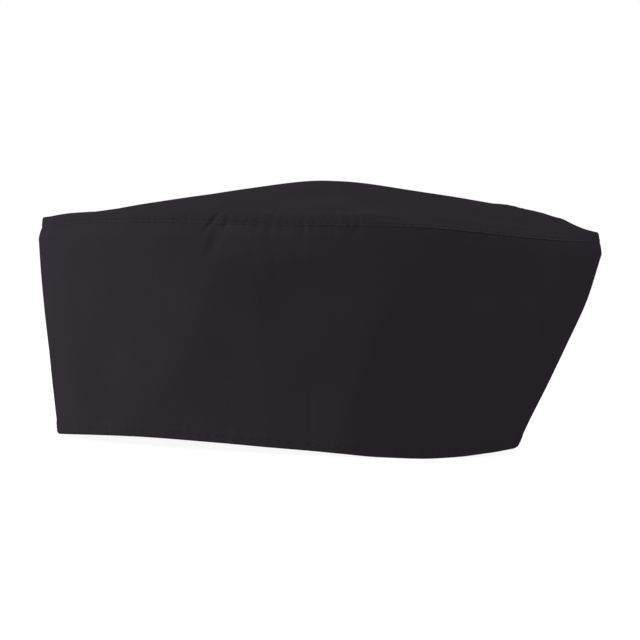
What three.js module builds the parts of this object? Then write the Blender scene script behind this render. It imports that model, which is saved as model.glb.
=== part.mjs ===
// Chef skull cap: a deep side band of twill with a low domed crown panel sewn over it.
//
// Millimetres, +Z up. The front of the cap is at -X and the back at +X. The cap stands on
// its hem at z = 0. A turn of 0 degrees is the front, 90 the side at -Y, 180 the back.

import * as THREE from "three";

// Driving dimensions: the rim, which is the line where the side band is fullest
const rimLength = 229.4;
const rimWidth = 202;

// The hem, which is shorter than the rim, lies further forward and is narrower in front
const hemLength = 187.4;
const hemWidth = 164;
const hemForward = 11.4;
const hemTaper = 0.25;
const hemBackSweep = 8;
const hemTurnDepth = 5;
const hemLift = 3.7;

// The side band
const clothThickness = 1.4;
const seamHeight = 85.1;
const shoulderDrop = 4.7;
const frontFullness = 0.4;
const backFullness = 2.1;
const fullnessPower = 1.8;

// The seam between band and crown
const seamGap = 0.3;
const seamGrooveDepth = 1.6;
const seamWander = 2;
const allowanceWidth = 6;

// The crown
const crownOverhang = 0.6;
const rolledEdgeRoom = 1.4;
const rolledEdgeCorner = 0.2;
const rolledEdgeSideCorner = 2.4;
const domeRise = 18.4;
const domePeakBack = 2.1;

// How finely the cloth is divided
const stepsRound = 90;
const bandRows = [0.07, 0.2, 0.34, 0.48, 0.62, 0.76, 0.88, 1];
const shoulderRows = [30, 60, 90];
const rolledEdgeRows = [22.5, 45, 67.5, 90];
const domeRows = [0.05, 0.12, 0.22, 0.34, 0.48, 0.64, 0.82];
const domeInnerRows = [0.82, 0.6, 0.4, 0.22, 0.08];

// Where the seam line rises and falls round the cap, in shares of seamWander
const seamLine = [
  { turn: 0, rise: 0 },
  { turn: 18, rise: -0.5 },
  { turn: 32, rise: -0.2 },
  { turn: 57, rise: -0.05 },
  { turn: 67, rise: -0.22 },
  { turn: 78, rise: -0.4 },
  { turn: 88, rise: -0.28 },
  { turn: 99, rise: -0.06 },
  { turn: 110, rise: 0.02 },
  { turn: 118, rise: -0.3 },
  { turn: 128, rise: -0.75 },
  { turn: 142, rise: -0.96 },
  { turn: 154, rise: -0.7 },
  { turn: 168, rise: -0.27 },
  { turn: 180, rise: 0.05 },
];

// Where the hem lifts off the surface, in shares of hemLift
const hemLine = [
  { turn: 0, rise: 0.243 },
  { turn: 15, rise: 0.47 },
  { turn: 33, rise: 0.773 },
  { turn: 50, rise: 1 },
  { turn: 69, rise: 0.879 },
  { turn: 81, rise: 0.697 },
  { turn: 91, rise: 0.516 },
  { turn: 98, rise: 0.349 },
  { turn: 105, rise: 0.143 },
  { turn: 110, rise: 0.078 },
  { turn: 115, rise: 0.028 },
  { turn: 120, rise: 0 },
  { turn: 125, rise: 0.063 },
  { turn: 133, rise: 0.193 },
  { turn: 142, rise: 0.395 },
  { turn: 151, rise: 0.5 },
  { turn: 165, rise: 0.455 },
  { turn: 180, rise: 0.243 },
  { turn: 195, rise: 0.06 },
  { turn: 210, rise: 0 },
  { turn: 330, rise: 0 },
  { turn: 345, rise: 0.06 },
  { turn: 360, rise: 0.243 },
];

// Height of the dome over the crown's edge, in shares of domeRise, from the edge to the peak
const domeSections = [
  { inward: 0, front: 0, side: 0, back: 0 },
  { inward: 0.04, front: 0.01, side: 0.04, back: 0.06 },
  { inward: 0.09, front: 0.035, side: 0.09, back: 0.17 },
  { inward: 0.2, front: 0.14, side: 0.2, back: 0.38 },
  { inward: 0.32, front: 0.3, side: 0.34, back: 0.52 },
  { inward: 0.55, front: 0.56, side: 0.6, back: 0.72 },
  { inward: 0.75, front: 0.78, side: 0.82, back: 0.885 },
  { inward: 0.9, front: 0.935, side: 0.95, back: 0.975 },
  { inward: 1, front: 1, side: 1, back: 1 },
];

// The long slanting fold of the band: the turn of its ridge at shares of the way up
const slantingRidge = [
  { up: 0, turn: 49 },
  { up: 0.15, turn: 55.5 },
  { up: 0.32, turn: 62 },
  { up: 0.55, turn: 66.8 },
  { up: 0.82, turn: 70.5 },
  { up: 1, turn: 80 },
];
const slantingFold = { halfWidth: 0.17, height: 0.018 };

// The share of the way up at which the folds begin to die out towards the seam
const foldsFadeFrom = 0.88;

// Softer folds and dents of the band. Turns are in degrees and up is a share of the way to
// the rim. Half widths and heights are shares of seamHeight, and a dent's height is negative.
const bandFolds = [
  { name: "corner", lowTurn: 24, low: -0.2, highTurn: 26, high: 1.1, halfWidth: 0.2, height: 0.01 },
  { name: "flat", lowTurn: 36, low: -0.2, highTurn: 50, high: 1.1, halfWidth: 0.2, height: -0.012 },
  { name: "upper roll", lowTurn: 86, low: 0.78, highTurn: 86, high: 1, halfWidth: 0.3, height: 0.016 },
  { name: "hollow", lowTurn: 84, low: -0.1, highTurn: 80, high: 0.8, halfWidth: 0.2, height: -0.012 },
  { name: "ridge", lowTurn: 99, low: -0.1, highTurn: 103, high: 0.75, halfWidth: 0.17, height: 0.012 },
  { name: "back hollow", lowTurn: 128, low: 0.6, highTurn: 128, high: 1, halfWidth: 0.42, height: -0.018 },
  { name: "back ridge", lowTurn: 140, low: -0.1, highTurn: 146, high: 0.8, halfWidth: 0.26, height: 0.01 },
  { name: "far fold", lowTurn: 300, low: -0.1, highTurn: 285, high: 0.95, halfWidth: 0.24, height: 0.012 },
  { name: "far hollow", lowTurn: 262, low: -0.1, highTurn: 258, high: 0.9, halfWidth: 0.24, height: -0.01 },
  { name: "far ridge", lowTurn: 226, low: -0.1, highTurn: 222, high: 0.85, halfWidth: 0.22, height: 0.01 },
];

// Creases and swells of the crown, each straight from one place to another. Inward is the
// share of the way from the edge to the peak. Widths and heights are shares of domeRise.
const crownFolds = [
  { name: "back crease", fromTurn: 128, from: 0.3, toTurn: 152, to: 0.03, halfWidth: 0.3, height: -0.045 },
  { name: "back swell", fromTurn: 140, from: 0.36, toTurn: 176, to: 0.1, halfWidth: 0.4, height: 0.05 },
  { name: "far crease", fromTurn: 236, from: 0.34, toTurn: 208, to: 0.05, halfWidth: 0.3, height: -0.04 },
  { name: "front swell", fromTurn: 52, from: 0.45, toTurn: 70, to: 0.1, halfWidth: 0.45, height: 0.03 },
];

const fullTurn = 2 * Math.PI;

function radians(degrees) {
  return THREE.MathUtils.degToRad(degrees);
}

// A smooth curve through a table: cubic pieces whose slope at a row is that between its neighbours.
function readTable(rows, along, column, place) {
  const found = rows.findIndex((row) => row[along] > place);
  const next = found < 0 ? rows.length - 1 : Math.max(found, 1);
  const rowAt = (index) => rows[THREE.MathUtils.clamp(index, 0, rows.length - 1)];
  const slopeAt = (index) => {
    const before = rowAt(index - 1);
    const after = rowAt(index + 1);
    return (after[column] - before[column]) / (after[along] - before[along]);
  };
  const start = rowAt(next - 1);
  const end = rowAt(next);
  const span = end[along] - start[along];
  const part = THREE.MathUtils.clamp((place - start[along]) / span, 0, 1);
  const left = 1 - part;
  const values = start[column] * left * left * (1 + 2 * part) + end[column] * part * part * (1 + 2 * left);
  return values + span * part * left * (slopeAt(next - 1) * left - slopeAt(next) * part);
}

// A soft hump: 1 at the middle and 0 at one half width either side.
function hump(distance) {
  return Math.abs(distance) < 1 ? (1 + Math.cos(Math.PI * distance)) / 2 : 0;
}

// The rim oval at a turn, moved inwards from the band's fullest line and set at a height.
function rimPoint(turn, inset, height) {
  const out = outward(turn);
  const x = -(rimLength / 2) * Math.cos(turn) - out.x * inset;
  const y = -(rimWidth / 2) * Math.sin(turn) - out.y * inset;
  return new THREE.Vector3(x, y, height);
}

// The level direction square to the rim oval.
function outward(turn) {
  return new THREE.Vector3(-Math.cos(turn) / rimLength, -Math.sin(turn) / rimWidth, 0).normalize();
}

// The hem's egg-shaped oval, narrower in front and with its sides swept back.
function hemPoint(turn) {
  const narrowing = 1 - hemTaper * Math.cos(turn);
  const sweep = hemBackSweep * Math.sin(turn) ** 2;
  const x = sweep - hemForward - (hemLength / 2) * Math.cos(turn);
  return new THREE.Vector3(x, -(hemWidth / 2) * Math.sin(turn) * narrowing, 0);
}

function seamRise(turn) {
  const degrees = THREE.MathUtils.radToDeg(turn);
  return seamWander * readTable(seamLine, "turn", "rise", Math.min(degrees, 360 - degrees));
}

function seamLevel(turn) {
  return seamHeight + seamRise(turn);
}

// How far the folds push the band out, or in, at a turn and a share of the way up.
function bandFoldDepth(turn, up) {
  const degrees = THREE.MathUtils.radToDeg(turn);
  const arcPerDegree = radians(rimLength / 2);
  const ridgeTurn = readTable(slantingRidge, "up", "turn", up);
  const across = ((degrees - ridgeTurn) * arcPerDegree) / (slantingFold.halfWidth * seamHeight);
  let depth = slantingFold.height * seamHeight * hump(across);
  for (const fold of bandFolds) {
    const along = (up - fold.low) / (fold.high - fold.low);
    const foldTurn = THREE.MathUtils.lerp(fold.lowTurn, fold.highTurn, along);
    const aside = ((degrees - foldTurn) * arcPerDegree) / (fold.halfWidth * seamHeight);
    depth += fold.height * seamHeight * hump(aside) * hump(2 * along - 1);
  }
  return depth * (1 - THREE.MathUtils.smoothstep(up, foldsFadeFrom, 1));
}

// A point of the band's outer face, moved inwards by an inset.
function wallPoint(turn, up, inset) {
  const degrees = THREE.MathUtils.radToDeg(turn);
  const point = hemPoint(turn).lerp(rimPoint(turn, 0, 0), up);
  const fullest = THREE.MathUtils.lerp(frontFullness, backFullness, (1 - Math.cos(turn)) / 2);
  const fullness = fullest * Math.sin(Math.PI * up ** fullnessPower);
  point.addScaledVector(outward(turn), fullness + bandFoldDepth(turn, up) - inset);
  const lift = hemLift * Math.max(readTable(hemLine, "turn", "rise", degrees), 0);
  point.z = (seamHeight - shoulderDrop) * up + lift * (1 - up) ** 2 + seamRise(turn) * up ** 3;
  return point;
}

// The section of the side band: up its outer face, in along the seam allowance, and back
// down its inner face to the hem, which is turned up inside and so is twice as thick.
function bandSection(turn) {
  const seamTop = seamLevel(turn) - seamGap / 2;
  const shoulder = (degrees) => {
    const inset = seamGrooveDepth * (1 - Math.cos(radians(degrees)));
    return rimPoint(turn, inset, seamTop - shoulderDrop * (1 - Math.sin(radians(degrees))));
  };
  const innerCorner = Math.cos(Math.asin(1 - clothThickness / shoulderDrop));
  const innerInset = clothThickness + seamGrooveDepth * (1 - innerCorner);
  const allowanceEnd = seamGrooveDepth + allowanceWidth;
  const hemTop = hemTurnDepth / seamHeight;
  return [
    wallPoint(turn, 0, 0),
    ...bandRows.map((up) => wallPoint(turn, up, 0)),
    ...shoulderRows.map(shoulder),
    rimPoint(turn, allowanceEnd, seamTop),
    rimPoint(turn, allowanceEnd, seamTop - clothThickness),
    rimPoint(turn, innerInset, seamTop - clothThickness),
    ...bandRows.slice(1, -1).reverse().map((up) => wallPoint(turn, up, clothThickness)),
    wallPoint(turn, hemTop, clothThickness),
    wallPoint(turn, hemTop, 2 * clothThickness),
    wallPoint(turn, 0, 2 * clothThickness),
  ];
}

// How far the creases and swells move the dome up, or down.
function crownFoldHeight(turn, inward) {
  const place = crownPlace(THREE.MathUtils.radToDeg(turn), inward);
  let height = 0;
  for (const fold of crownFolds) {
    const from = crownPlace(fold.fromTurn, fold.from);
    const run = crownPlace(fold.toTurn, fold.to).sub(from);
    const along = place.clone().sub(from).dot(run) / run.lengthSq();
    const across = place.clone().sub(from).cross(run) / run.length();
    const nearness = hump(across / (fold.halfWidth * domeRise)) * hump(2 * along - 1);
    height += fold.height * domeRise * nearness;
  }
  return height;
}

// The place of a turn in degrees and a share of the way inwards, seen from above.
function crownPlace(degrees, inward) {
  const point = rimPoint(radians(degrees), 0, 0);
  return new THREE.Vector2(point.x, point.y).multiplyScalar(1 - inward);
}

// A point of the rolled edge's outer face. The roll is widest one cloth thickness above the
// seam, tucks in below that, and turns over above it.
function rolledEdge(turn, degrees, inset) {
  const widest = seamLevel(turn) + seamGap / 2 + clothThickness;
  const corner = clothThickness + rolledEdgeCorner + rolledEdgeSideCorner * Math.sin(turn) ** 2;
  const reach = corner * (1 - Math.cos(radians(degrees)));
  const rise = (clothThickness + rolledEdgeRoom) * Math.sin(radians(degrees));
  return rimPoint(turn, seamGrooveDepth - crownOverhang + reach + inset, widest + rise);
}

// A point of the dome's outer face at a share of the way inwards, lowered by a depth.
function domePoint(turn, inward, depth) {
  const edge = rolledEdge(turn, 90, 0);
  const towardsFront = Math.max(Math.cos(turn), 0) ** 2;
  const towardsBack = Math.max(-Math.cos(turn), 0) ** 2;
  const height = (column) => readTable(domeSections, "inward", column, inward);
  const share = towardsFront * height("front") + towardsBack * height("back")
    + Math.sin(turn) ** 2 * height("side");
  const level = edge.z - seamRise(turn) * (1 - (1 - inward) ** 2);
  const peak = new THREE.Vector3(domePeakBack, 0, 0);
  const point = edge.lerp(peak, inward);
  point.z = level + domeRise * share + crownFoldHeight(turn, inward) - depth;
  return point;
}

// The section of the crown: from its centre down the inner face, out and in round the seam
// allowance, up over the rolled edge, and along the outer face back to the centre.
function crownSection(turn) {
  const seamBottom = seamLevel(turn) + seamGap / 2;
  const allowanceEnd = seamGrooveDepth + allowanceWidth;
  const innerReach = seamGrooveDepth - crownOverhang + clothThickness;
  const innerEdge = rolledEdge(turn, 90, 0);
  innerEdge.z -= clothThickness;
  const tuck = rimPoint(turn, seamGrooveDepth, seamBottom);
  const halfTuck = rimPoint(turn, seamGrooveDepth - crownOverhang / 2, seamBottom + clothThickness / 2);
  return [
    ...domeInnerRows.map((inward) => domePoint(turn, inward, clothThickness)),
    innerEdge,
    rimPoint(turn, innerReach, seamBottom + clothThickness + rolledEdgeRoom / 2),
    rimPoint(turn, innerReach, seamBottom + clothThickness),
    rimPoint(turn, allowanceEnd, seamBottom + clothThickness),
    rimPoint(turn, allowanceEnd, seamBottom),
    tuck,
    halfTuck,
    rolledEdge(turn, 0, 0),
    ...rolledEdgeRows.map((degrees) => rolledEdge(turn, degrees, 0)),
    ...domeRows.map((inward) => domePoint(turn, inward, 0)),
  ];
}

// A closed surface through sections taken all the way round. A section is a closed loop, or
// with two poles it runs from the first pole to the second.
function roundSurface(sectionAt, poles) {
  const turns = Array.from({ length: stepsRound }, (_, step) => (step / stepsRound) * fullTurn);
  const sections = turns.map((turn) => sectionAt(turn));
  const rows = sections[0].length;
  const points = [...sections.flat(), ...poles];
  const corner = (step, row) => (step % stepsRound) * rows + (row % rows);
  const firstPole = stepsRound * rows;
  const closedRows = poles.length > 0 ? rows - 1 : rows;
  const faces = [];
  for (let step = 0; step < stepsRound; step += 1) {
    for (let row = 0; row < closedRows; row += 1) {
      faces.push(corner(step, row), corner(step + 1, row), corner(step + 1, row + 1));
      faces.push(corner(step, row), corner(step + 1, row + 1), corner(step, row + 1));
    }
    if (poles.length > 0) {
      faces.push(firstPole, corner(step + 1, 0), corner(step, 0));
      faces.push(corner(step, rows - 1), corner(step + 1, rows - 1), firstPole + 1);
    }
  }
  const geometry = new THREE.BufferGeometry().setFromPoints(points);
  geometry.setIndex(faces);
  geometry.computeVertexNormals();
  return geometry;
}

function sideBand() {
  const twill = new THREE.MeshStandardMaterial({ color: 0x2b272c, roughness: 0.9, metalness: 0 });
  const mesh = new THREE.Mesh(roundSurface(bandSection, []), twill);
  mesh.name = "side_band";
  return mesh;
}

function crownTop() {
  const twill = new THREE.MeshStandardMaterial({ color: 0x2e2a30, roughness: 0.9, metalness: 0 });
  const poles = [domePoint(0, 1, clothThickness), domePoint(0, 1, 0)];
  const mesh = new THREE.Mesh(roundSurface(crownSection, poles), twill);
  mesh.name = "crown_top";
  return mesh;
}

const cap = new THREE.Group();
cap.name = "chef_skull_cap";
cap.add(sideBand(), crownTop());

export default cap;
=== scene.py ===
import bpy
import numpy as np
from mathutils import Matrix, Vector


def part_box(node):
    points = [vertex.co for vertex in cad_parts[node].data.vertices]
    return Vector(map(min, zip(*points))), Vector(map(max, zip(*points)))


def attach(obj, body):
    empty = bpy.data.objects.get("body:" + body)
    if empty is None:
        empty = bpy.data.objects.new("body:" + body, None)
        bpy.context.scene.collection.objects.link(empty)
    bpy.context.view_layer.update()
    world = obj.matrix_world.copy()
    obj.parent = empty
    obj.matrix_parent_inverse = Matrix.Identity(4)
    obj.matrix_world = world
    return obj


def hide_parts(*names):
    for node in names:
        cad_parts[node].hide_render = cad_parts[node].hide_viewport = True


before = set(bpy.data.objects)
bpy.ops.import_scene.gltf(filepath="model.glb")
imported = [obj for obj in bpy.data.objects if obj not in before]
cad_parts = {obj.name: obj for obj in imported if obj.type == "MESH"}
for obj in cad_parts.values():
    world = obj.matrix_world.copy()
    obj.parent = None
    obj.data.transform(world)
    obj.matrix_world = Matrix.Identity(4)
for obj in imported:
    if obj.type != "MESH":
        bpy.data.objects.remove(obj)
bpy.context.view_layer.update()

mm = 0.001

# Side band
# The deep wall of the cap: one strip of black poly-cotton twill joined into a ring at the
# back. Its lower edge is turned up inside and stitched as a narrow hem, and its upper edge
# is turned in and sewn to the crown. Cloth this soft keeps shallow folds and puckers.
band_low, band_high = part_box("side_band")
rim_length = band_high[0] - band_low[0]
rim_width = band_high[1] - band_low[1]
seam_height = 85.1 * mm
seam_wander = 2 * mm
seam_gap = 0.015 * mm
shoulder_drop = 4.7 * mm
shoulder_power = 1.6
overhang_power = 6
wall_height = seam_height - shoulder_drop
cloth_thickness = 1.4 * mm
allowance_start = cloth_thickness + 0.8 * mm
allowance_end = 7.6 * mm
hem_length = 187.4 * mm
hem_width = 164 * mm
hem_forward = 11.4 * mm
hem_back_sweep = 8 * mm
hem_taper = 0.25
hem_turn_depth = 5 * mm
hem_turn_inset = 1.9 * cloth_thickness
hem_turn_swell = 0.22 * mm
turned_edge = 0.8 * mm
hem_lift = 3.7 * mm
hem_rounding = 0.6 * mm
hem_stitch_height = 2.7 * mm
hem_stitch_pitch = 3.7 * mm
hem_furrow = 0.09 * mm
hem_furrow_width = 0.5 * mm
front_fullness = 0.4 * mm
back_fullness = 2.1 * mm
fullness_power = 1.8

# Where the seam rises and falls: turn in degrees, share of seam_wander
seam_line = [(0, 0), (18, -0.5), (32, -0.2), (57, -0.05), (67, -0.22), (78, -0.4),
             (88, -0.28), (99, -0.06), (110, 0.02), (118, -0.3), (128, -0.75), (142, -0.96),
             (154, -0.7), (168, -0.27), (180, 0.05)]

# Where the hem stands off the surface: turn in degrees, share of hem_lift
hem_line = [(0, 0.243), (15, 0.47), (33, 0.773), (50, 1), (69, 0.879), (81, 0.697), (91, 0.516),
            (98, 0.349), (105, 0.143), (110, 0.078), (115, 0.028), (120, 0), (125, 0.063),
            (133, 0.193), (142, 0.395), (151, 0.5), (165, 0.455), (180, 0.243), (195, 0.06),
            (210, 0), (330, 0), (345, 0.06), (360, 0.243)]

# The cloth stands in flat stretches that meet in soft corners. The longest slants from under
# the seam to the hem. Each has a line of rows, the share of the way up and the turn in
# degrees, then how wide its foot is to either side and how far it stands out, in millimetres.
soft_corners = [
    ([(-0.05, 43.5), (0.1, 49.5), (0.25, 56.9), (0.51, 65), (0.7, 68.2), (0.85, 71.4),
      (0.925, 75), (0.96, 80), (0.99, 87), (1.045, 93), (1.07, 96)], 26, 1.8),
    ([(-0.1, 27), (0.5, 29), (1, 31)], 15, 0.5),
    ([(-0.1, 82), (0.35, 80.5), (0.78, 78)], 15, 0.5),
    ([(-0.1, 97.5), (0.2, 98.5), (0.45, 101), (0.7, 105), (0.92, 109)], 17, 0.75),
    ([(-0.1, 146), (0.5, 150), (1, 153)], 18, 0.6),
    ([(-0.1, 214), (0.45, 209), (0.95, 206)], 20, 0.9),
    ([(-0.1, 238), (0.5, 246), (0.8, 250)], 18, 0.7),
    ([(0.1, 284), (0.5, 278), (0.9, 268)], 22, 1.1),
    ([(-0.1, 311), (0.4, 305), (0.95, 303)], 20, 0.8),
    ([(-0.1, 339), (0.5, 337), (1, 333)], 16, 0.5),
]
corner_rounding = 0.15
corner_steps = 60

# Soft folds and dents: lower turn, lower share of the way up, upper turn, upper share,
# half width and height as shares of wall_height
band_folds = [
    (36, -0.2, 50, 1.1, 0.2, -0.008),
    (86, 0.78, 86, 1, 0.3, 0.014),
    (128, 0.6, 128, 1, 0.42, -0.018),
    (140, -0.1, 146, 0.8, 0.26, 0.01),
    (300, -0.1, 285, 0.95, 0.24, 0.012),
    (262, -0.1, 258, 0.9, 0.24, -0.01),
    (226, -0.1, 222, 0.85, 0.22, 0.01),
]
folds_fade_from = 0.88
folds_end = 1.05
band_slack = 0.13 * mm

# Small creases laid over them, in the same columns
band_creases = [
    (68.4, 0.84, 72.4, 1.12, 0.048, -0.0075),
    (61.5, -0.06, 61, 0.16, 0.035, -0.003),
    (73, -0.06, 75, 0.14, 0.035, 0.003),
    (91.5, -0.04, 90, 0.38, 0.035, -0.002),
    (87, 0.95, 87, 1.1, 0.02, -0.002),
    (95.4, 0.97, 96.8, 1.1, 0.016, -0.004),
    (0, 0.2, 0, 1.4, 0.35, 0.003),
    (180, 0.7, 180, 1.35, 0.3, -0.005),
    (180, 0.08, 180, 0.46, 0.3, 0.008),
    (156, 0.2, 150, 0.62, 0.06, 0.004),
    (196, 0.1, 206, 0.6, 0.07, 0.006),
    (241, 0.35, 232, 0.9, 0.06, -0.006),
    (275, 0.05, 268, 0.5, 0.06, 0.006),
    (318, 0.2, 330, 0.75, 0.07, 0.006),
]

# How hard the seam is drawn up: turn in degrees, share of seam_pucker
seam_draw = [(0, 0.2), (40, 0.1), (60, 0.3), (70, 0.9), (96, 1), (104, 0.35), (130, 0.15),
             (180, 0.35), (225, 0.25), (285, 0.8), (320, 0.3), (360, 0.2)]
seam_pucker = 0.2 * mm
seam_pucker_reach = 3.4 * mm
hem_pucker = 0.08 * mm
hem_pucker_reach = 7 * mm

# Tucks that cross the seam: turn in degrees, half width and depth in millimetres, and how
# many degrees they lean to the back for each millimetre up
seam_tucks = [(69.3, 1.9, 0.75, 0.38), (72.4, 1.1, 0.28, 0.1), (76.2, 1.1, 0.15, 0.2),
              (80.9, 1, 0.2, 0.1), (83, 1, 0.12, 0), (86.9, 1.2, 0.24, 0), (91.3, 1, 0.15, 0),
              (93.6, 1, 0.2, -0.1), (95.2, 0.9, 0.2, 0), (96.7, 1.1, 0.35, 0),
              (119, 1.3, 0.15, 0.2), (149, 1.6, 0.2, -0.2), (207, 1.6, 0.3, 0.2),
              (262, 1.3, 0.3, -0.2), (281, 1.2, 0.4, 0.2), (296, 1.4, 0.3, 0),
              (333, 1.4, 0.25, -0.2)]

# How far in the crease of the seam lies: turn in degrees, millimetres
seam_crease = [(0, 1.25), (35, 0.85), (60, 0.5), (85, 0.45), (100, 0.35), (155, 0.35), (180, 1.1),
               (215, 0.6), (262, 0.7), (300, 0.6), (330, 0.9), (360, 1.25)]

# How far the crown's edge juts out over the band: turn in degrees, millimetres
seam_overhang = [(0, 0), (98, 0), (110, 0.25), (150, 0.25), (164, 0), (215, 0.15), (300, 0.15),
                 (330, 0), (360, 0)]

# The join at the centre back
join_groove = 0.45 * mm
join_groove_width = 0.5 * mm
join_allowance = 9 * mm
join_swell = 0.2 * mm

# Where the band is painted paler. All but the last patch are painted light, on the shoulder
# under the seam, on a slant of the near wall and low in front; the last lies high on the far
# side. In the same columns as the folds with the amount at the end
band_painted_light = [
    (84, 0.88, 84, 1.16, 0.34, 0.1),
    (75, 0.88, 75, 1.14, 0.13, 0.09),
    (94, 0.35, 99, 1.2, 0.38, 0.12),
    (50, -0.5, 55, 0.5, 0.5, 0.05),
    (288, 0.6, 284, 1.2, 0.3, 0.06),
]
hem_rubbing = 0.08
hem_rubbing_reach = 1.2 * mm


def read_table(rows, place):
    """A smooth curve through rows of place and value.

    Between two rows it is a cubic whose slope at each row is that between the row's
    neighbours.
    """
    at, value = np.array(rows, float).T
    before = np.maximum(np.arange(len(at)) - 1, 0)
    after = np.minimum(np.arange(len(at)) + 1, len(at) - 1)
    slope = (value[after] - value[before]) / (at[after] - at[before])
    left = np.clip(np.searchsorted(at, place, side="right") - 1, 0, len(at) - 2)
    right = left + 1
    span = at[right] - at[left]
    part = np.clip((place - at[left]) / span, 0, 1)
    rest = 1 - part
    level = value[left] * rest**2 * (1 + 2 * part) + value[right] * part**2 * (1 + 2 * rest)
    return level + span * part * rest * (slope[left] * rest - slope[right] * part)


def smooth_step(low, high, place):
    """Goes from 0 at low to 1 at high on a cubic with level ends. Low may be the larger."""
    part = np.clip((place - low) / (high - low), 0, 1)
    return part**2 * (3 - 2 * part)


def hump(distance):
    """A raised cosine: 1 at the middle and 0 from a distance of 1 on either side."""
    return np.where(np.abs(distance) < 1, (1 + np.cos(np.pi * distance)) / 2, 0)


def bell(distance):
    """A bell curve: 1 at the middle, and about a third of that at a distance of 1."""
    return np.exp(-distance**2)


def outward(turn):
    """The level direction square to the rim oval, as x and y."""
    x, y = -np.cos(turn) / rim_length, -np.sin(turn) / rim_width
    size = np.hypot(x, y)
    return x / size, y / size


def rim_point(turn, inset, height):
    """A point of the rim oval, moved inwards square to it and set at a height."""
    out_x, out_y = outward(turn)
    x = -rim_length / 2 * np.cos(turn) - out_x * inset
    y = -rim_width / 2 * np.sin(turn) - out_y * inset
    return np.stack(np.broadcast_arrays(x, y, height), -1)


def hem_point(turn):
    """A point of the hem's egg-shaped oval: narrower in front, its sides swept back."""
    x = hem_back_sweep * np.sin(turn) ** 2 - hem_forward - hem_length / 2 * np.cos(turn)
    y = -hem_width / 2 * np.sin(turn) * (1 - hem_taper * np.cos(turn))
    return x, y


def degrees_round(turn):
    """A turn in degrees, from 0 to 360."""
    return np.degrees(turn) % 360


def arc(degrees):
    """The length round the rim that an angle spans."""
    return np.radians(degrees) * rim_length / 2


def seam_rise(turn):
    """How far the seam rises over seam_height, the same on both sides of the cap."""
    degrees = degrees_round(turn)
    return seam_wander * read_table(seam_line, np.minimum(degrees, 360 - degrees))


def laid_along(turn, up, rows):
    """The sum of a table of strokes on the band: each is a hump across times one along."""
    degrees = degrees_round(turn)
    total = np.zeros(np.broadcast(turn, up).shape)
    for low_turn, low, high_turn, high, half_width, amount in rows:
        along = (up - low) / (high - low)
        across = arc(degrees - low_turn - (high_turn - low_turn) * along) / wall_height
        total += amount * hump(across / half_width) * hump(2 * along - 1)
    return total


def corner_depth(turn, up):
    """The soft corners: two slopes that meet in a rounded ridge, by the distance to its line."""
    round_place = arc(degrees_round(turn))[..., None]
    depth = np.zeros(np.broadcast(turn, up).shape)
    for rows, foot, height in soft_corners:
        line_up = np.linspace(rows[0][0], rows[-1][0], corner_steps)
        line_place = arc(read_table(rows, line_up))
        upward = (np.asarray(up)[..., None] - line_up) * wall_height
        distance = np.hypot(round_place - line_place, upward).min(-1) / (foot * mm)
        slope = 1 - np.hypot(distance, corner_rounding) + corner_rounding
        depth += height * mm * np.clip(slope, 0, 1) ** 2
    return depth


def ripple(turn, seed, fewest, most):
    """Uneven ripples round the cap, -1 to 1: a sum of cosines of seeded counts and phases."""
    random = np.random.default_rng(seed)
    wave_count, usual_sum = 7, 3.2
    waves = random.integers(fewest, most, wave_count)
    phases = random.uniform(0, 2 * np.pi, wave_count)
    total = sum(np.cos(wave * turn + phase) for wave, phase in zip(waves, phases))
    return np.clip(total / usual_sum, -1, 1)


def slack(turn, height, seed):
    """The cloth's slow unevenness, about -1 to 1: seeded waves 25 to 80 mm long each way."""
    random = np.random.default_rng(seed)
    wave_count, usual_sum = 14, 4
    total = np.zeros(np.broadcast(turn, height).shape)
    for _ in range(wave_count):
        round_waves = random.integers(-20, 21)
        height_waves = random.uniform(12, 40) * random.choice([-1, 1])
        phase = random.uniform(0, 2 * np.pi)
        total += np.cos(round_waves * turn + 2 * np.pi * height_waves * height + phase)
    return total / usual_sum


def seam_relief(turn, above_seam):
    """How the cloth by the seam waves in and out: ripples of two lengths, and sharper tucks."""
    degrees = degrees_round(turn)
    waves = 0.5 * ripple(turn, 11, 52, 96) + 0.5 * ripple(turn, 12, 120, 180)
    relief = seam_pucker * read_table(seam_draw, degrees) * waves
    for middle, half_width, depth, lean in seam_tucks:
        aside = arc(degrees - middle - lean * above_seam / mm)
        relief = relief - depth * mm * hump(aside / (half_width * mm))
    return relief


def hem_relief(turn, above_hem):
    """The hem: its waves, the furrow of its stitches, its turned-up cloth and its round edge."""
    waves = hem_pucker * ripple(turn, 23, 60, 110) * bell(above_hem / hem_pucker_reach)
    furrow = hem_furrow * bell((above_hem - hem_stitch_height) / hem_furrow_width)
    turned = smooth_step(hem_turn_depth + turned_edge, hem_turn_depth - turned_edge, above_hem)
    round_edge = hem_rounding * np.clip(1 - above_hem / (2 * hem_rounding), 0, 1) ** 2
    return waves - furrow + hem_turn_swell * turned - round_edge


def join_relief(turn):
    """The join: a groove, and beside it the swell of the allowance that lies under the cloth."""
    past_join = arc(degrees_round(turn) - 180)
    groove = join_groove * bell(past_join / join_groove_width)
    allowance_fades = smooth_step(join_allowance, 0.8 * join_allowance, past_join)
    return join_swell * smooth_step(0, turned_edge, past_join) * allowance_fades - groove


def band_relief(turn, up):
    """All that moves the band's cloth square to the rim: folds, creases, slack and puckers."""
    above_hem = up * wall_height
    below_seam = seam_height - above_hem
    broad = wall_height * laid_along(turn, up, band_folds) + corner_depth(turn, up)
    broad = broad * (1 - smooth_step(folds_fade_from, folds_end, up))
    creases = wall_height * laid_along(turn, up, band_creases)
    uneven = band_slack * slack(turn, above_hem, 5)
    puckers = seam_relief(turn, -below_seam) * np.exp(-(below_seam / seam_pucker_reach) ** 1.5)
    return broad + creases + uneven + puckers + hem_relief(turn, above_hem) + join_relief(turn)


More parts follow.
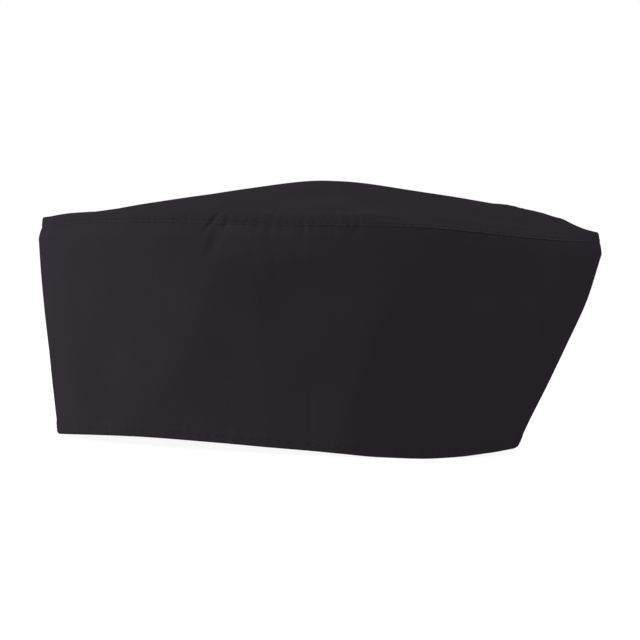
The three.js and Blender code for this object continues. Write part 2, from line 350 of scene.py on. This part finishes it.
def wall_point(turn, up, inset):
    """A point of the band: between the hem oval and the rim oval, filled out and folded.

    The hem's lift fades with the square of what is left of the way up, and the seam's rise
    comes in with its cube.
    """
    hem_x, hem_y = hem_point(turn)
    rim = rim_point(turn, 0, 0)
    out_x, out_y = outward(turn)
    fullest = front_fullness + (back_fullness - front_fullness) * (1 - np.cos(turn)) / 2
    push = fullest * np.sin(np.pi * up**fullness_power) + band_relief(turn, up) - inset
    lift = hem_lift * np.maximum(read_table(hem_line, degrees_round(turn)), 0)
    x = hem_x + (rim[..., 0] - hem_x) * up + out_x * push
    y = hem_y + (rim[..., 1] - hem_y) * up + out_y * push
    z = wall_height * up + lift * (1 - up) ** 2 + seam_rise(turn) * up**3
    return np.stack(np.broadcast_arrays(x, y, z), -1)


def crease_depth(turn):
    """How far inside the rim oval the crease of the seam lies."""
    return mm * read_table(seam_crease, degrees_round(turn))


def band_shoulder(turn, angle):
    """From the band's fullest line up and in to the crease, by a power of the way up."""
    top = seam_height - seam_gap / 2 + seam_rise(turn)
    up = 1 + shoulder_drop * np.sin(angle) / wall_height
    overhang = mm * read_table(seam_overhang, degrees_round(turn))
    reach = crease_depth(turn) * np.sin(angle) ** shoulder_power
    reach = reach + overhang * np.sin(angle) ** overhang_power - band_relief(turn, up)
    return rim_point(turn, reach, top - shoulder_drop * (1 - np.sin(angle)))


def along_section(grid):
    """How far along its section each point lies: the summed steps from the section's start."""
    steps = np.linalg.norm(np.diff(grid, axis=1), axis=-1)
    return np.hstack([np.zeros((len(grid), 1)), np.cumsum(steps, 1)])


def stitch_numbers(surface, pitch):
    """Turns round a closed line on the cloth, and the number of stitches sewn up to each."""
    fine = np.linspace(0, 2 * np.pi, 2400)
    line = surface(fine)
    sewn = np.concatenate([[0], np.cumsum(np.linalg.norm(np.diff(line, axis=0), axis=1))])
    return fine, sewn / sewn[-1] * round(sewn[-1] / pitch)


def add_piece(name, points, polygons, material):
    """A smooth object of one material in the scene, from points and lists of their numbers."""
    mesh = bpy.data.meshes.new(name)
    mesh.from_pydata(points.tolist(), [], polygons)
    mesh.polygons.foreach_set("use_smooth", np.ones(len(mesh.polygons), bool))
    mesh.materials.append(material)
    piece = bpy.data.objects.new(name, mesh)
    bpy.context.scene.collection.objects.link(piece)
    return piece


def round_piece(name, grid, layers, paleness_and_painted_light, caps, material):
    """A closed cloth piece from a grid of points, rings of the cap in its first direction.

    Layers are the maps of the cloth's own places, one ring longer than the grid, so that a
    pattern runs on over the last ring. Without caps, the section closes on itself too and
    the layers have one more row. With caps, two points close the first and last rows.
    The paler share at each point, given before the caps, paints the cloth paler there, for wear
    and for painted light.
    """
    rings, rows = grid.shape[:2]
    steps = rows if caps is None else rows - 1
    ring, row = np.meshgrid(np.arange(rings), np.arange(steps), indexing="ij")
    corner_ring = np.stack([ring, ring + 1, ring + 1, ring], -1).reshape(-1, 4)
    corner_row = np.stack([row, row, row + 1, row + 1], -1).reshape(-1, 4)
    faces = (corner_ring % rings) * rows + corner_row % rows
    points = grid.reshape(-1, 3)
    polygons = faces.tolist()
    if caps is not None:
        points = np.vstack([points, caps])
        here = np.arange(rings)[:, None] * rows
        after = (here + rows) % (rings * rows)
        cap = np.full((rings, 1), rings * rows)
        polygons += np.hstack([cap, after, here]).tolist()
        polygons += np.hstack([here + rows - 1, after + rows - 1, cap + 1]).tolist()
    piece = add_piece(name, points, polygons, material)
    mesh = piece.data
    for layer_name, layer in layers.items():
        corners = layer[corner_ring, corner_row].reshape(-1, 2)
        if caps is not None:
            ends = layer.mean((0, 1)) + np.zeros((rings, 1, 2))
            first = np.concatenate([ends, layer[1:, :1], layer[:-1, :1]], 1)
            last = np.concatenate([layer[:-1, -1:], layer[1:, -1:], ends], 1)
            corners = np.vstack([corners, first.reshape(-1, 2), last.reshape(-1, 2)])
        places = mesh.uv_layers.new(name=layer_name).data
        places.foreach_set("uv", corners.astype(np.float32).ravel())
    paler = np.zeros(len(points), np.float32)
    paler[:paleness_and_painted_light.size] = paleness_and_painted_light.ravel()
    mesh.attributes.new("paleness_and_painted_light", "FLOAT", "POINT").data.foreach_set("value", paler)
    mesh.update()
    return piece


def matt_material(name):
    """A material and its shader, which mirrors nothing."""
    material = bpy.data.materials.new(name)
    material.use_nodes = True
    shader = material.node_tree.nodes["Principled BSDF"]
    shader.inputs["Specular IOR Level"].default_value = 0.0
    return material, shader


def add_node(tree, kind, values=None, **settings):
    """A node of a kind, with its settings and the values of its inputs."""
    node = tree.nodes.new(kind)
    for setting, choice in settings.items():
        setattr(node, setting, choice)
    for socket, value in (values or {}).items():
        node.inputs[socket].default_value = value
    return node


def map_range(tree, value, before, after, **settings):
    """A value carried from one range to another. Each range is its two ends."""
    node = add_node(tree, "ShaderNodeMapRange", {
        "From Min": before[0], "From Max": before[1],
        "To Min": after[0], "To Max": after[1]}, **settings)
    tree.links.new(value, node.inputs["Value"])
    return node.outputs["Result"]


def tone_ramp(tree, value, *stops):
    """The colour at a value between two stops, each a value and its colour."""
    node = add_node(tree, "ShaderNodeValToRGB")
    for element, (position, colour) in zip(node.color_ramp.elements, stops):
        element.position = position
        element.color = colour
    tree.links.new(value, node.inputs["Fac"])
    return node.outputs["Color"]


def mix_tone(tree, share, base, colour):
    """The base colour turned into another by a share from 0 to 1."""
    node = add_node(tree, "ShaderNodeMix", {"B": colour}, data_type="RGBA")
    tree.links.new(share, node.inputs["Factor"])
    tree.links.new(base, node.inputs["A"])
    return node.outputs["Result"]


def shade(tint, brightness):
    """A tint made brighter or darker, as an opaque colour."""
    return (*[brightness * part for part in tint], 1)


def hole_shade(tree, stitch_pitch):
    """Painted shade of the needle holes: 1 in the holes and 0 away from them.

    The "stitches" layer counts the stitches along and holds metres across. A hole lies half
    a count from the middle of each stitch.
    """
    needle = add_node(tree, "ShaderNodeUVMap", uv_map="stitches")
    needle_place = add_node(tree, "ShaderNodeSeparateXYZ")
    from_middle = add_node(tree, "ShaderNodeMath", {1: 0.5}, operation="PINGPONG")
    beside_hole = add_node(tree, "ShaderNodeCombineXYZ")
    hole_distance = add_node(tree, "ShaderNodeVectorMath", operation="LENGTH")
    tree.links.new(needle.outputs["UV"], needle_place.inputs["Vector"])
    tree.links.new(needle_place.outputs["X"], from_middle.inputs[0])
    along = map_range(tree, from_middle.outputs["Value"], (0.5, 0), (0, stitch_pitch / 2))
    tree.links.new(along, beside_hole.inputs["X"])
    tree.links.new(needle_place.outputs["Y"], beside_hole.inputs["Y"])
    tree.links.new(beside_hole.outputs["Vector"], hole_distance.inputs[0])
    return map_range(tree, hole_distance.outputs["Value"], (hole_outside, hole_inside), (0, 1),
                     interpolation_type="SMOOTHSTEP")


def black_twill(name, tint, stitch_pitch):
    """Near-black twill, from the cloth's own places in metres.

    Slanting wales and fine yarn are bumps, and shade is painted into the grooves between the
    wales. The dye is patchy, with faint lint. Shade is painted as a small darker spot round the
    needle hole between each stitch and the next. The attribute of paler places paints some of
    the cloth paler, for wear and for painted light.
    """
    material, shader = matt_material(name)
    tree = material.node_tree
    links = tree.links
    cloth = add_node(tree, "ShaderNodeUVMap", uv_map="cloth")
    slant = add_node(tree, "ShaderNodeMapping", {"Rotation": (0, 0, wale_slant)})
    wales = add_node(tree, "ShaderNodeTexWave", {
        "Scale": wave_scale, "Distortion": 0.35, "Detail": 2, "Detail Scale": 2.5})
    links.new(cloth.outputs["UV"], slant.inputs["Vector"])
    links.new(slant.outputs["Vector"], wales.inputs["Vector"])
    place = add_node(tree, "ShaderNodeTexCoord")
    yarn = add_node(tree, "ShaderNodeTexNoise", {"Scale": 1600, "Detail": 3})
    crumple = add_node(tree, "ShaderNodeTexNoise", {"Scale": 95, "Detail": 4})
    dye = add_node(tree, "ShaderNodeTexNoise", {"Scale": 38, "Detail": 5})
    lint = add_node(tree, "ShaderNodeTexVoronoi", {"Scale": 240})
    for texture in (yarn, crumple, dye, lint):
        links.new(place.outputs["Object"], texture.inputs["Vector"])

    tone = tone_ramp(tree, dye.outputs["Fac"], (0.3, shade(tint, 0.96)), (0.72, shade(tint, 1.04)))
    specks = map_range(tree, lint.outputs["Distance"], (0.08, 0.04), (0, 1))
    tone = mix_tone(tree, specks, tone, shade(tint, 1.16))
    # The attribute of paler places: wear and painted light.
    paleness_and_painted_light = add_node(tree, "ShaderNodeAttribute", attribute_name="paleness_and_painted_light")
    tone = mix_tone(tree, paleness_and_painted_light.outputs["Fac"], tone, shade(tint, 2))
    # Painted shade in the grooves between the wales: up to 14 % darker where their bump is lowest.
    wale_groove_shade = add_node(tree, "ShaderNodeMix", {"Factor": 0.14}, data_type="RGBA",
                         blend_type="MULTIPLY")
    links.new(tone, wale_groove_shade.inputs["A"])
    links.new(wales.outputs["Color"], wale_groove_shade.inputs["B"])
    # Painted shade round the needle holes.
    tone = mix_tone(tree, hole_shade(tree, stitch_pitch), wale_groove_shade.outputs["Result"],
                    shade(tint, 0.95))
    links.new(tone, shader.inputs["Base Color"])
    rough = map_range(tree, yarn.outputs["Fac"], (0, 1), (0.84, 0.97))
    links.new(rough, shader.inputs["Roughness"])

    surface = None
    for height, strength, depth in ((crumple.outputs["Fac"], 0.3, 0.6 * mm),
                                    (wales.outputs["Fac"], 0.35, 0.12 * mm),
                                    (yarn.outputs["Fac"], 0.3, 0.08 * mm)):
        bump = add_node(tree, "ShaderNodeBump", {"Strength": strength, "Distance": depth})
        links.new(height, bump.inputs["Height"])
        if surface is not None:
            links.new(surface, bump.inputs["Normal"])
        surface = bump.outputs["Normal"]
    links.new(surface, shader.inputs["Normal"])
    return material


# Columns stand closer where the seam is puckered and at the join: from, to, how many
column_runs = [(0, 58, 110), (58, 104, 150), (104, 176, 140), (176, 184, 40), (184, 360, 340)]
turns = np.radians(np.concatenate([
    np.linspace(start, end, count, endpoint=False) for start, end, count in column_runs]))[:, None]
outer_up = np.concatenate([
    np.linspace(0, 0.1, 15)[:-1], np.linspace(0.1, 0.86, 43)[:-1], np.linspace(0.86, 1, 16)])[None]
shoulder_angles = np.radians([15, 30, 42, 54, 66, 78, 90])[None]
inner_up = np.linspace(0.97, hem_turn_depth / wall_height, 16)[None]
hem_top = np.full((1, 1), hem_turn_depth / wall_height)
seam_top = seam_height - seam_gap / 2 + seam_rise(turns)
band_grid = np.concatenate([
    wall_point(turns, outer_up, 0),
    band_shoulder(turns, shoulder_angles),
    rim_point(turns, allowance_end, seam_top),
    rim_point(turns, allowance_end, seam_top - cloth_thickness),
    rim_point(turns, allowance_start, seam_top - cloth_thickness),
    wall_point(turns, inner_up, cloth_thickness),
    wall_point(turns, hem_top, hem_turn_inset),
    wall_point(turns, hem_top / 2, 2 * cloth_thickness),
    wall_point(turns, 0 * hem_top, hem_turn_inset - 2 * hem_rounding),
], 1)
whole_round = np.vstack([turns, [[2 * np.pi]]])
band_closed = band_grid[np.r_[:len(turns), 0]][:, np.r_[:band_grid.shape[1], 0]]
band_section = along_section(band_closed)
hem_turns, hem_numbers = stitch_numbers(
    lambda turn: wall_point(turn, hem_stitch_height / wall_height, 0), hem_stitch_pitch)
hem_count = np.interp(whole_round, hem_turns, hem_numbers)
round_length = whole_round * (rim_length + rim_width) / 4
above_stitches = band_section - hem_stitch_height
band_layers = {
    "cloth": np.stack(np.broadcast_arrays(round_length, band_section), -1),
    "stitches": np.stack(np.broadcast_arrays(hem_count, above_stitches), -1),
}
# Wear and painted light on the band: its patches of painted light, and a paler worn hem fold.
band_paleness_and_painted_light = laid_along(turns, band_grid[..., 2] / wall_height, band_painted_light)
band_paleness_and_painted_light += hem_rubbing * bell(band_section[:-1, :-1] / hem_rubbing_reach)

# The twill: a wave texture repeats every 2 pi / 20 of its scaled place. The painted shade of the
# needle holes fades out between two distances from their middle.
twill_tint = (0.0179, 0.01425, 0.0186)
wale_pitch = 0.75 * mm
wave_scale = 2 * np.pi / (20 * wale_pitch)
wale_slant = np.radians(58)
hole_inside = 0.2 * mm
hole_outside = 0.55 * mm
side_band = round_piece("side_band_cloth", band_grid, band_layers, band_paleness_and_painted_light, None,
                        black_twill("black_twill", twill_tint, hem_stitch_pitch))
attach(side_band, "root")
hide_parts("side_band")

# Crown
# The top panel: an oval of the same twill, held up in a low tent by its own stiffness. Its
# edge rolls over the seam and is turned in on the band's allowance.
edge_low = 0.12 * mm
edge_top = 4.35 * mm
edge_corner = 1.3 * mm
edge_corner_power = 4
edge_tuck = 0.1 * mm
edge_pucker_share = 0.85
seam_stitch_height = 1.15 * mm
seam_stitch_pitch = 2.6 * mm
seam_furrow = 0.06 * mm
seam_furrow_width = 0.35 * mm
dome_rise = 18.4 * mm
dome_peak_back = 2.1 * mm
dome_pucker_share = 0.8
dome_pucker_start = 0.015
dome_pucker_reach = 0.05
crown_slack = 0.25 * mm
# A paler line painted along the crown's foot, and how far it reaches. Then how far up the rolled
# edge its painted light reaches.
crown_foot_paleness = 0.12
crown_foot_paleness_reach = 0.8 * mm
edge_painted_light_reach = 4.5 * mm

# How far the rolled edge slopes inwards on its way up: turn in degrees, millimetres
edge_slope = [(0, 0), (25, 0), (62, 0.5), (80, 1.8), (92, 1.8), (98, 0.7), (103, 1.4), (110, 3.8),
              (118, 5), (142, 5), (162, 2.2), (180, 0), (200, 1), (230, 3), (270, 3), (320, 1.5),
              (360, 0)]

# Height of the dome over its edge in shares of dome_rise: share of the way inwards, then the
# height in front, at the sides and at the back
dome_sections = [
    (0, 0, 0, 0),
    (0.04, 0.01, 0.04, 0.06),
    (0.09, 0.035, 0.09, 0.17),
    (0.2, 0.14, 0.2, 0.38),
    (0.32, 0.3, 0.34, 0.52),
    (0.55, 0.56, 0.6, 0.72),
    (0.75, 0.78, 0.82, 0.885),
    (0.9, 0.935, 0.95, 0.975),
    (1, 1, 1, 1),
]

# Painted light: where the rolled edge is painted paler over its height, as if more light fell on
# it: turn in degrees, amount
edge_painted_light = [(0, 0), (92, 0), (98, 0.1), (104, 0.15), (112, 0.12), (123, 0.07), (143, 0.06),
                (165, 0), (360, 0)]

# Creases and swells: turn and share inwards at one end, the same at the other, half width
# and height as shares of dome_rise
crown_folds = [
    (128, 0.3, 152, 0.03, 0.3, -0.045),
    (140, 0.36, 176, 0.1, 0.4, 0.05),
    (236, 0.34, 208, 0.05, 0.3, -0.04),
    (52, 0.45, 70, 0.1, 0.45, 0.03),
    (118, 0.12, 158, 0.0, 0.12, -0.03),
    (136, 0.16, 172, 0.02, 0.12, 0.028),
    (150, 0.3, 178, 0.12, 0.14, -0.028),
    (69, -0.03, 77, 0.07, 0.07, -0.045),
    (30, 0.3, 6, 0.02, 0.2, -0.01),
    (162, 0.08, 198, 0.08, 0.25, 0.03),
    (96, 0.1, 104, 0.7, 0.8, 0.03),
    (330, 0.42, 350, 0.05, 0.25, 0.025),
    (300, 0.5, 270, 0.04, 0.25, -0.022),
    (250, 0.55, 236, 0.1, 0.3, 0.025),
    (196, 0.5, 186, 0.06, 0.25, -0.025),
]


def crown_place(degrees, inward):
    """Where a turn and a share of the way inwards lie, seen from above."""
    return rim_point(np.radians(degrees), 0, 0)[..., :2] * (1 - np.asarray(inward))[..., None]


def crown_relief(turn, inward):
    """Creases as humps across and along a straight line, with slack cloth between them."""
    place = crown_place(np.degrees(turn), inward)
    waves = slack(place[..., 0] / (rim_length / 2), place[..., 1], 31)
    height = crown_slack * waves * smooth_step(0, 0.12, inward)
    for from_turn, start, to_turn, end, half_width, size in crown_folds:
        first, last = crown_place(from_turn, start), crown_place(to_turn, end)
        run = last - first
        length = np.hypot(*run)
        step = place - first
        along = (step @ run) / length**2
        across = (step[..., 0] * run[1] - step[..., 1] * run[0]) / length
        swell = hump(across / (half_width * dome_rise)) * hump(2 * along - 1)
        height = height + size * dome_rise * swell
    return height


def rolled_edge(turn, angle, inset):
    """The crown's rolled edge: upright with a round corner in front and behind, sloped beside."""
    foot = seam_height + seam_rise(turn)
    height = edge_low + (edge_top - edge_low) * np.sin(angle)
    furrow = seam_furrow * bell((height - seam_stitch_height) / seam_furrow_width)
    rounding = (1 - np.sin(angle) ** edge_corner_power) ** (1 / edge_corner_power)
    slope = mm * read_table(edge_slope, degrees_round(turn)) * np.sin(angle)
    puckers = edge_pucker_share * seam_relief(turn, height) * np.cos(angle)
    reach = edge_corner * (1 - rounding) + slope - puckers + furrow
    return rim_point(turn, crease_depth(turn) + reach + inset, foot + height)


def dome_point(turn, inward, depth):
    """A point of the dome: from the rolled edge to the peak, raised by the dome sections."""
    edge = rolled_edge(turn, np.pi / 2, 0)
    front, back = np.maximum(np.cos(turn), 0) ** 2, np.maximum(-np.cos(turn), 0) ** 2
    shares = [read_table([(row[0], row[side]) for row in dome_sections], inward)
              for side in (1, 2, 3)]
    share = front * shares[0] + np.sin(turn) ** 2 * shares[1] + back * shares[2]
    level = edge[..., 2] - seam_rise(turn) * (1 - (1 - inward) ** 2)
    fade = np.exp(-(inward / dome_pucker_reach) ** 1.3) * smooth_step(0, dome_pucker_start, inward)
    puckers = dome_pucker_share * seam_relief(turn, edge_top) * fade
    z = level + dome_rise * share + crown_relief(turn, inward) + puckers - depth
    x = edge[..., 0] * (1 - inward) + dome_peak_back * inward
    y = edge[..., 1] * (1 - inward)
    return np.stack(np.broadcast_arrays(x, y, z), -1)


seam_bottom = seam_height + seam_gap / 2 + seam_rise(turns)
inner_inward = np.linspace(0.96, 0.04, 14)[None]
inner_angles = np.radians([42, 29, 19])[None]
tuck_angles = np.radians([90, 60, 30])[None]
tuck_puckers = edge_pucker_share * seam_relief(turns, 0)
tuck_reach = crease_depth(turns) + edge_tuck * (1 - np.cos(tuck_angles)) - tuck_puckers
tuck_height = seam_bottom + (edge_low - seam_gap / 2) * (1 - np.sin(tuck_angles))
roll_angles = np.radians([
    0, 3, 6, 8, 10, 12, 14, 17, 21, 27, 34, 42, 51, 61, 70, 77, 82, 86, 90])[None]
outer_inward = np.concatenate([np.linspace(0, 0.2, 24)[1:-1], np.linspace(0.2, 0.985, 44)])[None]
crown_grid = np.concatenate([
    dome_point(turns, inner_inward, cloth_thickness),
    rolled_edge(turns, inner_angles, cloth_thickness),
    rim_point(turns, allowance_end, seam_bottom + cloth_thickness),
    rim_point(turns, allowance_end, seam_bottom),
    rim_point(turns, tuck_reach, tuck_height),
    rolled_edge(turns, roll_angles, 0),
    dome_point(turns, outer_inward, 0),
], 1)
peak = dome_point(np.zeros((1, 1)), np.ones((1, 1)), 0)[0]
crown_closed = crown_grid[np.r_[:len(turns), 0]]
stitch_angle = np.arcsin((seam_stitch_height - edge_low) / (edge_top - edge_low))
seam_turns, seam_numbers = stitch_numbers(
    lambda turn: rolled_edge(turn, stitch_angle, 0), seam_stitch_pitch)
seam_count = np.interp(whole_round, seam_turns, seam_numbers)

# Places along the sections: the rolled edge lies between two of the rows, and the stitches
# lie a little above one of them
allowance_rows = 2
first_rolled = inner_inward.size + inner_angles.size + allowance_rows + tuck_angles.size
last_rolled = first_rolled + roll_angles.size - 1
below_stitches = first_rolled + int(np.searchsorted(roll_angles[0], stitch_angle)) - 1
crown_section = along_section(crown_closed)
stitch_section = crown_section[:, below_stitches] + np.linalg.norm(
    rolled_edge(whole_round, stitch_angle, 0)[:, 0] - crown_closed[:, below_stitches], axis=-1)
beside_stitches = crown_section - stitch_section[:, None]

# The cloth's own places: as seen from above on the dome, and unrolled outwards on the edge
row_numbers = np.arange(crown_grid.shape[1])
on_roll = (row_numbers >= first_rolled) & (row_numbers < last_rolled)
down_roll = crown_section[:, last_rolled, None] - crown_section
roll_outward = np.stack(outward(whole_round), -1)
unrolled = crown_closed[:, last_rolled, None, :2] + down_roll[..., None] * roll_outward
crown_layers = {
    "cloth": np.where(on_roll[:, None], unrolled, crown_closed[..., :2]),
    "stitches": np.stack(np.broadcast_arrays(seam_count, beside_stitches), -1),
}
# Painted shade: the crown, of the same twill as the band, is painted 3 % darker because it faces
# the overhead light.
crown_shaded_tint = [0.97 * part for part in twill_tint]
# Painted light and a paler line on the crown: the rolled edge painted paler where more light falls
# on it, fading over its height, and a paler line along its foot.
from_edge = crown_section[:-1] - crown_section[:-1, first_rolled, None]
edge_fade = np.exp(-(from_edge / edge_painted_light_reach) ** 4)
crown_paleness_and_painted_light = crown_foot_paleness * bell(from_edge / crown_foot_paleness_reach)
crown_paleness_and_painted_light += read_table(edge_painted_light, degrees_round(turns)) * edge_fade
crown = round_piece("crown_top_cloth", crown_grid, crown_layers, crown_paleness_and_painted_light,
                    np.vstack([peak - [[0, 0, cloth_thickness]], peak]),
                    black_twill("black_twill_crown_shaded", crown_shaded_tint, seam_stitch_pitch))
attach(crown, "root")
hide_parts("crown_top")

# Stitches
# Two rows of black polyester thread: one on the crown's rolled edge just above the seam, and
# one round the hem. Each stitch is a short thread that dips into the cloth at both ends.
stitch_gap = 0.6 * mm
stitch_jitter = 0.05
thread_radius = 0.2 * mm
thread_end = 0.55
thread_proud = 0.5
thread_sides = 6
thread_steps = 5

thread, thread_shader = matt_material("black_thread")
thread_shader.inputs["Roughness"].default_value = 0.6
thread_place = add_node(thread.node_tree, "ShaderNodeTexCoord")
thread_twist = add_node(thread.node_tree, "ShaderNodeTexNoise", {"Scale": 2400})
thread.node_tree.links.new(thread_place.outputs["Object"], thread_twist.inputs["Vector"])
# Painted sheen with random tone: the thread is painted up to a quarter paler than the cloth, by
# the noise of its twist.
thread_tone_and_sheen = tone_ramp(thread.node_tree, thread_twist.outputs["Fac"],
                        (0, shade(twill_tint, 1)), (1, shade(twill_tint, 1.25)))
thread.node_tree.links.new(thread_tone_and_sheen, thread_shader.inputs["Base Color"])


def stitch_row(name, surface, pitch):
    """One mesh of stitches along a closed line on the cloth.

    The line is cut into equal stitches by its length. Each is a thin tube along the line
    that stands proud of the cloth by half its radius and sinks below it at both ends, where
    it is thinner.
    """
    fine, numbers = stitch_numbers(surface, pitch)
    count = round(numbers[-1])
    half = (1 - stitch_gap / pitch) / 2
    random = np.random.default_rng(7)
    middles = np.arange(count)[:, None] + random.uniform(-stitch_jitter, stitch_jitter, (count, 1))
    turn = np.interp((middles + np.linspace(-half, half, thread_steps)) % count, numbers, fine)
    small_turn = 0.2 * mm / rim_length
    ahead = surface(turn + small_turn) - surface(turn - small_turn)
    ahead /= np.linalg.norm(ahead, axis=-1, keepdims=True)
    out_x, out_y = outward(turn)
    proud = np.stack([out_x, out_y, np.zeros_like(out_x)], -1)
    side = np.cross(ahead, proud)
    arch = np.cos(np.pi * np.linspace(-0.5, 0.5, thread_steps)) ** 0.5
    rise = thread_radius * ((1 + thread_proud) * arch - 1)
    radius = thread_radius * (thread_end + (1 - thread_end) * arch)
    angle = np.linspace(0, 2 * np.pi, thread_sides, endpoint=False)[:, None]
    ring = proud[:, :, None] * np.cos(angle) + side[:, :, None] * np.sin(angle)
    centre = surface(turn) + proud * rise[:, None]
    points = (centre[:, :, None] + ring * radius[:, None, None]).reshape(-1, 3)
    first = np.arange(count)[:, None, None] * thread_steps * thread_sides
    here = first + np.arange(thread_steps - 1)[:, None] * thread_sides
    corner = np.arange(thread_sides)
    beside = (corner + 1) % thread_sides
    sides = np.stack([here + corner, here + beside, here + beside + thread_sides,
                      here + corner + thread_sides], -1).reshape(-1, 4)
    first_end = first[:, 0] + corner[::-1]
    last_end = first[:, 0] + (thread_steps - 1) * thread_sides + corner
    polygons = sides.tolist() + first_end.tolist() + last_end.tolist()
    piece = add_piece(name, points, polygons, thread)
    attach(piece, "root")


stitch_row("seam_stitches", lambda turn: rolled_edge(turn, stitch_angle, 0), seam_stitch_pitch)
stitch_row("hem_stitches", lambda turn: wall_point(turn, hem_stitch_height / wall_height, 0),
           hem_stitch_pitch)

# Floor and surround
# A white light table: one disc far larger than the cap that glows through, so that shadows
# stay pale on it. It runs out into a white surround.
floor_radius = 9.0
floor_corners = 96
white, white_shader = matt_material("light_table")
white_shader.inputs["Base Color"].default_value = (0.15, 0.15, 0.15, 1)
white_shader.inputs["Roughness"].default_value = 1.0
white_shader.inputs["Emission Color"].default_value = (1, 1, 1, 1)
white_shader.inputs["Emission Strength"].default_value = 0.93
floor_turn = np.linspace(0, 2 * np.pi, floor_corners, endpoint=False)
floor_round = np.stack([np.cos(floor_turn), np.sin(floor_turn), 0 * floor_turn], -1)
floor = add_piece("floor", floor_radius * floor_round, [list(range(floor_corners))], white)

world = bpy.data.worlds.new("white_surround")
bpy.context.scene.world = world
world.use_nodes = True
surround = world.node_tree.nodes["Background"]
surround.inputs["Color"].default_value = (1, 1, 1, 1)
surround.inputs["Strength"].default_value = 1.0

# Lights
# A low soft lamp by the front of the cap, one overhead, and a faint one on the far side. All
# of them face the middle of the seam's oval.
lamp_target = (0, 0, seam_height)


def soft_light(name, place, size, power):
    """A large square lamp at a place, turned to face the cap."""
    lamp = bpy.data.lights.new(name, "AREA")
    lamp.shape = "SQUARE"
    lamp.size = size
    lamp.energy = power
    holder = bpy.data.objects.new(name, lamp)
    holder.location = place
    x, y, z = np.array(place) - lamp_target
    holder.rotation_euler = (np.arctan2(np.hypot(x, y), z), 0, np.arctan2(-y, -x) - np.pi / 2)
    bpy.context.scene.collection.objects.link(holder)


soft_light("front_light", (-2.13, -0.36, 0.42), 0.75, 52)
soft_light("top_light", (0.6, -0.1, 1.95), 1.2, 26)
soft_light("far_light", (-0.2, 2.0, 0.5), 0.8, 13)

# Camera
# Level with the middle of the cap and square to its side, with a slight roll.
camera_distance = 0.85
camera_height = 50.5 * mm
camera_x = 0.7 * mm
camera_roll = np.radians(1.6)
photo_pixels = 640
pixel_size = 0.41 * mm
sensor_width = 36
camera_data = bpy.data.cameras.new("camera")
camera_data.sensor_width = sensor_width
camera_data.lens = sensor_width * camera_distance / (photo_pixels * pixel_size)
camera_data.clip_start = 10 * mm
camera = bpy.data.objects.new("camera", camera_data)
camera.location = (camera_x, -camera_distance, camera_height)
look_along = Matrix.Rotation(np.pi / 2, 4, "X") @ Matrix.Rotation(camera_roll, 4, "Z")
camera.rotation_euler = look_along.to_euler()
bpy.context.scene.collection.objects.link(camera)
bpy.context.scene.camera = camera
bpy.context.scene.view_settings.view_transform = "Standard"
